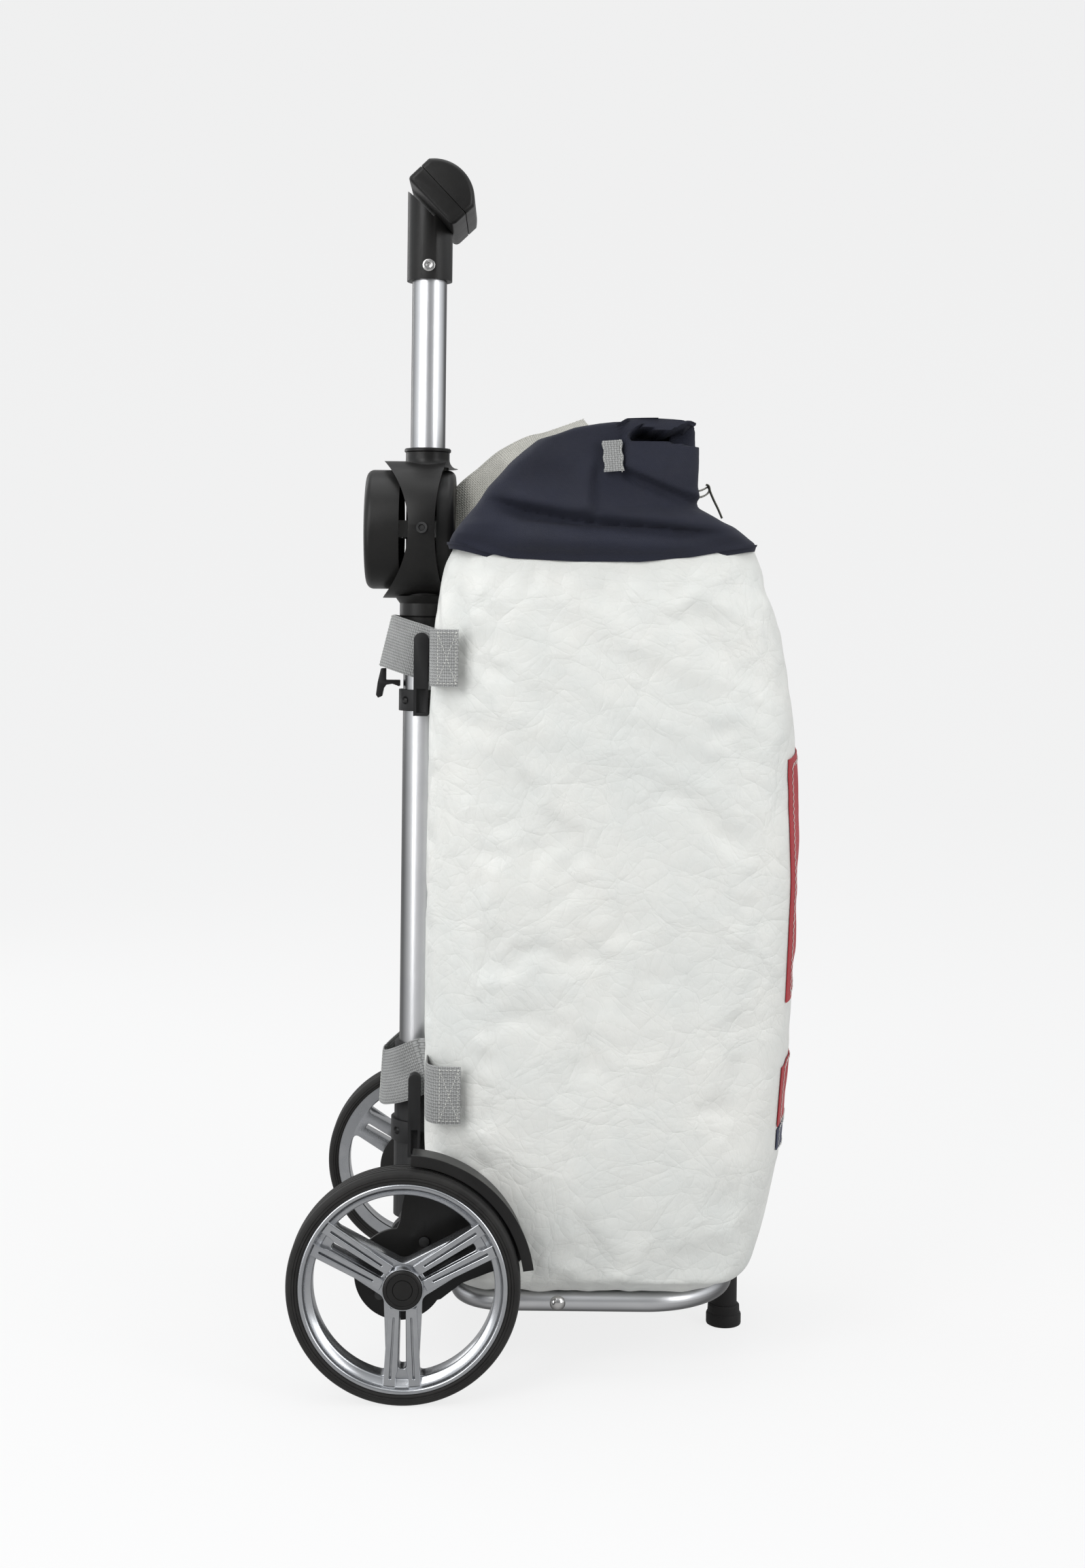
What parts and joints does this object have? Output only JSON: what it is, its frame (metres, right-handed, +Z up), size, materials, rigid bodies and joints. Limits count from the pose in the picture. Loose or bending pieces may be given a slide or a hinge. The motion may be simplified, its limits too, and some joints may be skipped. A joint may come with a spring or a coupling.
{
  "type": "shopping trolley on wheels",
  "caption": "Two-wheeled shopping trolley with a telescopic central tube, T-handle, roll-top bag, folding base loop and front foot.",
  "frame": {"origin": "on the ground under the middle of the whole trolley's box", "axes": "+X to the front, the bag's side; +Y to the left; +Z up along the tube"},
  "size_m": [0.4494, 0.43, 1.093],
  "materials": {
    "black_plastic": "satin",
    "dark_plastic": "satin",
    "grey_nylon": "satin",
    "black_rubber": "matte",
    "black_tyre": "matte",
    "aluminium_tube": "satin",
    "silver_rim": "satin",
    "bright_steel": "satin",
    "dark_steel": "satin",
    "white_sailcloth": "satin",
    "navy_fabric": "matte",
    "grey_webbing": "matte",
    "beige_webbing": "matte",
    "red_fabric": "matte",
    "olive_hook": "satin"
  },
  "bodies": {
    "frame": {"housing_body": "black_plastic", "front_cover": "black_plastic", "release_spring": "bright_steel", "housing_screws": "dark_steel", "top_collar": "black_plastic", "bottom_collar": "black_plastic", "guide_bush": "grey_nylon", "outer_tube": "aluminium_tube", "upper_bracket": "dark_plastic", "cart_hook": "dark_plastic", "bracket_screws": "dark_steel", "chassis": "dark_plastic", "lower_bracket": "dark_plastic", "left_mudguard": "black_plastic", "right_mudguard": "black_plastic", "mudguard_screws": "dark_steel", "axle": "bright_steel", "axle_spacers": "grey_nylon", "retaining_clips": "bright_steel", "bag_body": "white_sailcloth", "bag_hood": "navy_fabric", "upper_band": "grey_webbing", "lower_band": "grey_webbing", "carry_strap": "beige_webbing", "side_tabs": "grey_webbing", "closure_hook": "olive_hook", "closure_loop": "beige_webbing", "front_patches": "red_fabric"},
    "handle": {"grip_cap": "black_plastic", "grip_lower_shell": "black_plastic", "handle_neck": "black_plastic", "neck_screw": "bright_steel", "inner_tube": "aluminium_tube", "slide_bush": "grey_nylon"},
    "release_button": {"release_disc": "black_plastic", "release_yoke": "grey_nylon", "brake_shoe": "black_rubber"},
    "left_wheel": {"left_rim": "silver_rim", "left_tyre": "black_tyre", "left_bush": "grey_nylon", "left_hub_cap": "black_plastic"},
    "right_wheel": {"right_rim": "silver_rim", "right_tyre": "black_tyre", "right_bush": "grey_nylon", "right_hub_cap": "black_plastic"},
    "base": {"base_loop": "aluminium_tube", "cross_bar": "aluminium_tube", "base_bolts": "bright_steel", "foot_socket": "black_plastic", "rubber_foot": "black_rubber"}
  },
  "joints": [
    {"name": "handle_slide", "type": "slide", "parent": "frame", "child": "handle", "axis": [0, 0, 1], "range_m": [-0.145, 0]},
    {"name": "release_press", "type": "slide", "parent": "frame", "child": "release_button", "axis": [1, 0, 0], "range_m": [0, 0.003], "stiffness_N_per_m": 900, "springref_m": -0.003, "deforming": ["release_spring"]},
    {"name": "left_wheel_spin", "type": "hinge", "parent": "frame", "child": "left_wheel", "pos_m": [-0.12475, 0.2, 0.1], "axis": [0, 1, 0], "continuous": true},
    {"name": "right_wheel_spin", "type": "hinge", "parent": "frame", "child": "right_wheel", "pos_m": [-0.12475, -0.2, 0.1], "axis": [0, 1, 0], "continuous": true},
    {"name": "base_fold", "type": "hinge", "parent": "frame", "child": "base", "pos_m": [-0.07775, 0, 0.065], "axis": [0, -1, 0], "range_deg": [0, 90], "deforming": ["bag_body", "bag_hood", "carry_strap", "side_tabs", "closure_hook", "closure_loop", "front_patches"]}
  ]
}
